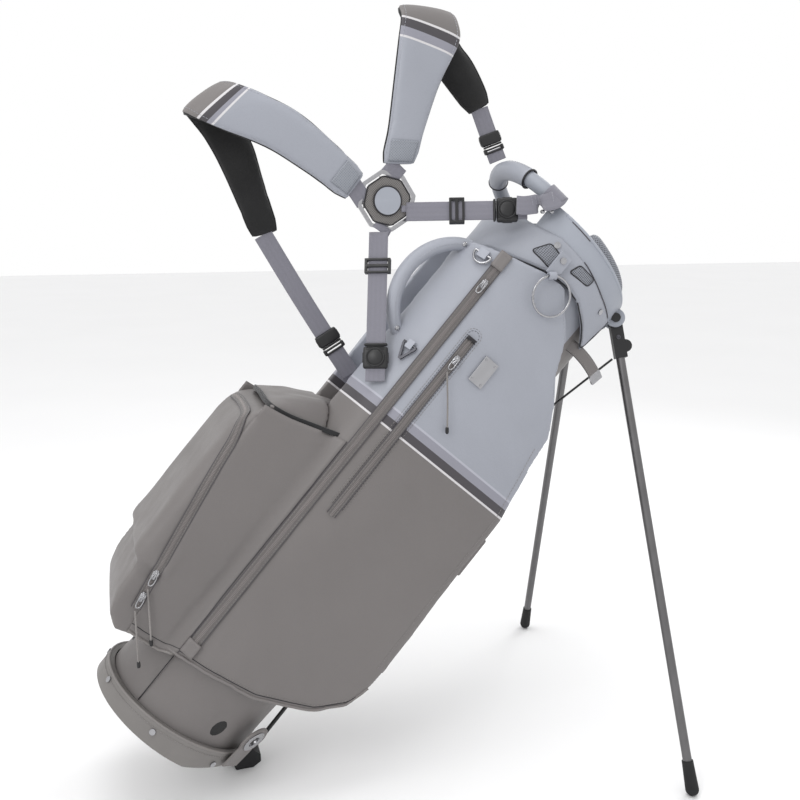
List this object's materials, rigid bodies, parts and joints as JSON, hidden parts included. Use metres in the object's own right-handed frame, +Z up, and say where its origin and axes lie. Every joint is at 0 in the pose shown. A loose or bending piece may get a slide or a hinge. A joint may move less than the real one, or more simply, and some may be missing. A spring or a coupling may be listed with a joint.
{
  "type": "golf stand bag",
  "caption": "Golf stand bag leaning on its foot and two fold-out legs, with a padded double shoulder harness, side pockets, zips and lift handles.",
  "frame": {"origin": "middle of the foot sole, on the surface that the bag stands on", "axes": "+Z up, +X from the foot towards the legs, -Y the side with the two long zips"},
  "size_m": [0.7655, 0.5342, 1.0378],
  "materials": {
    "light_leather": "smooth synthetic leather, light blue grey",
    "taupe_leather": "smooth synthetic leather, warm grey",
    "webbing": "flat woven webbing, lavender grey",
    "lining": "soft black knitted lining",
    "mesh": "padded spacer mesh",
    "zip_tape": "woven zip tape with moulded teeth",
    "moulded_light": "matte moulded plastic",
    "moulded_taupe": "matte moulded plastic",
    "black_plastic": "matte black plastic",
    "rubber_foot": "matt rubber",
    "leg_metal": "satin anodised tube, gunmetal",
    "silver_metal": "bright plated metal",
    "dark_metal": "dark plated metal",
    "plate_metal": "brushed plate",
    "steel_wire": "black coated steel"
  },
  "bodies": {
    "bag": {"base_cup": "moulded_taupe", "rivets": "silver_metal", "body_tube": "taupe_leather", "side_pocket_right": "light_leather", "side_pocket_left": "light_leather", "ball_pocket": "taupe_leather", "top_pocket": "taupe_leather", "zip_tapes": "zip_tape", "top_cuff": "moulded_light", "handle_wrap": "light_leather", "cuff_cover": "light_leather", "top_divider": "moulded_light", "rim_pad": "mesh", "stay_rods": "black_plastic", "carry_handle": "webbing", "name_plate": "plate_metal", "ring_tab": "light_leather", "side_ring_tab": "light_leather", "triangle_tab": "light_leather", "base_tab": "moulded_taupe", "eyelet": "silver_metal", "side_tab": "taupe_leather", "leg_strap": "taupe_leather", "leg_strap_tip": "silver_metal", "rod_guide": "black_plastic", "hinge_pins": "black_plastic", "hub_frame": "silver_metal", "hub_plate": "taupe_leather", "hub_disc": "light_leather", "lower_pad_front": "light_leather", "lower_pad_back": "lining", "upper_pad_front": "light_leather", "upper_pad_back": "lining", "lower_pad_webbing": "webbing", "upper_pad_webbing": "webbing", "body_webbing": "webbing", "cuff_webbing": "webbing", "pad_buckles": "black_plastic", "magnetic_buckles": "black_plastic", "web_adjusters": "black_plastic"},
    "leg_right": {"leg_right_bracket": "black_plastic", "leg_right_tube": "leg_metal", "leg_right_foot": "rubber_foot"},
    "leg_left": {"leg_left_bracket": "black_plastic", "leg_left_tube": "leg_metal", "leg_left_foot": "rubber_foot"},
    "actuator": {"actuator_rod": "steel_wire", "kicker_foot": "rubber_foot"},
    "push_wire_right": {"push_wire_right": "steel_wire"},
    "push_wire_left": {"push_wire_left": "steel_wire"},
    "towel_ring": {"towel_ring": "silver_metal"},
    "side_d_ring": {"side_d_ring": "silver_metal"},
    "triangle_ring": {"triangle_ring": "dark_metal"},
    "long_zip_slider": {"long_zip_slider": "silver_metal"},
    "short_zip_slider": {"short_zip_slider": "silver_metal", "short_zip_cord": "webbing"},
    "ball_zip_slider_upper": {"ball_zip_slider_upper": "silver_metal", "ball_zip_cord_upper": "webbing"},
    "ball_zip_slider_lower": {"ball_zip_slider_lower": "silver_metal", "ball_zip_cord_lower": "webbing"}
  },
  "joints": [
    {"name": "leg_right_fold", "type": "hinge", "parent": "bag", "child": "leg_right", "pos_m": [0.53401, -0.059, 0.62574], "axis": [0.3166, 0.9078, -0.2752], "range_deg": [0, 47]},
    {"name": "leg_left_fold", "type": "hinge", "parent": "bag", "child": "leg_left", "pos_m": [0.53401, 0.059, 0.62574], "axis": [-0.3166, 0.9078, 0.2752], "range_deg": [0, 47]},
    {"name": "actuator_slide", "type": "slide", "parent": "bag", "child": "actuator", "axis": [0.6561, 0, 0.7547], "range_m": [-0.0214, 0]},
    {"name": "push_wire_right_turn", "type": "hinge", "parent": "actuator", "child": "push_wire_right", "pos_m": [0.37059, -0.009, 0.4286], "axis": [-0.4299, -0.8869, 0.1691], "range_deg": [0, 9.19]},
    {"name": "push_wire_left_turn", "type": "hinge", "parent": "actuator", "child": "push_wire_left", "pos_m": [0.37059, 0.009, 0.4286], "axis": [0.4299, -0.8869, -0.1691], "range_deg": [0, 9.19]},
    {"name": "towel_ring_swing", "type": "hinge", "parent": "bag", "child": "towel_ring", "pos_m": [0.40031, -0.1256, 0.69295], "axis": [-1, 0, 0], "range_deg": [0, 80]},
    {"name": "side_d_ring_swing", "type": "hinge", "parent": "bag", "child": "side_d_ring", "pos_m": [0.3203, -0.08868, 0.7201], "axis": [-0.5149, 0.7312, 0.4476], "range_deg": [0, 80]},
    {"name": "triangle_ring_swing", "type": "hinge", "parent": "bag", "child": "triangle_ring", "pos_m": [0.22189, -0.08868, 0.60689], "axis": [-0.5149, 0.7312, 0.4476], "range_deg": [0, 80]},
    {"name": "long_zip", "type": "slide", "parent": "bag", "child": "long_zip_slider", "axis": [0.6561, 0, 0.7547], "range_m": [-0.56, 0]},
    {"name": "short_zip", "type": "slide", "parent": "bag", "child": "short_zip_slider", "axis": [0.6561, 0, 0.7547], "range_m": [-0.24, 0]},
    {"name": "ball_zip_upper", "type": "slide", "parent": "bag", "child": "ball_zip_slider_upper", "axis": [0.524, 0, 0.8517], "range_m": [0, 0.17]},
    {"name": "ball_zip_lower", "type": "slide", "parent": "bag", "child": "ball_zip_slider_lower", "axis": [0.524, 0, 0.8517], "range_m": [-0.009, 0]}
  ],
  "couplings": [
    {"joint": "leg_left_fold", "follows": "leg_right_fold", "ratio": 1},
    {"joint": "actuator_slide", "follows": "leg_right_fold", "m_per_rad": -0.026085},
    {"joint": "push_wire_right_turn", "follows": "leg_right_fold", "ratio": 0.19551},
    {"joint": "push_wire_left_turn", "follows": "leg_right_fold", "ratio": 0.19551}
  ]
}
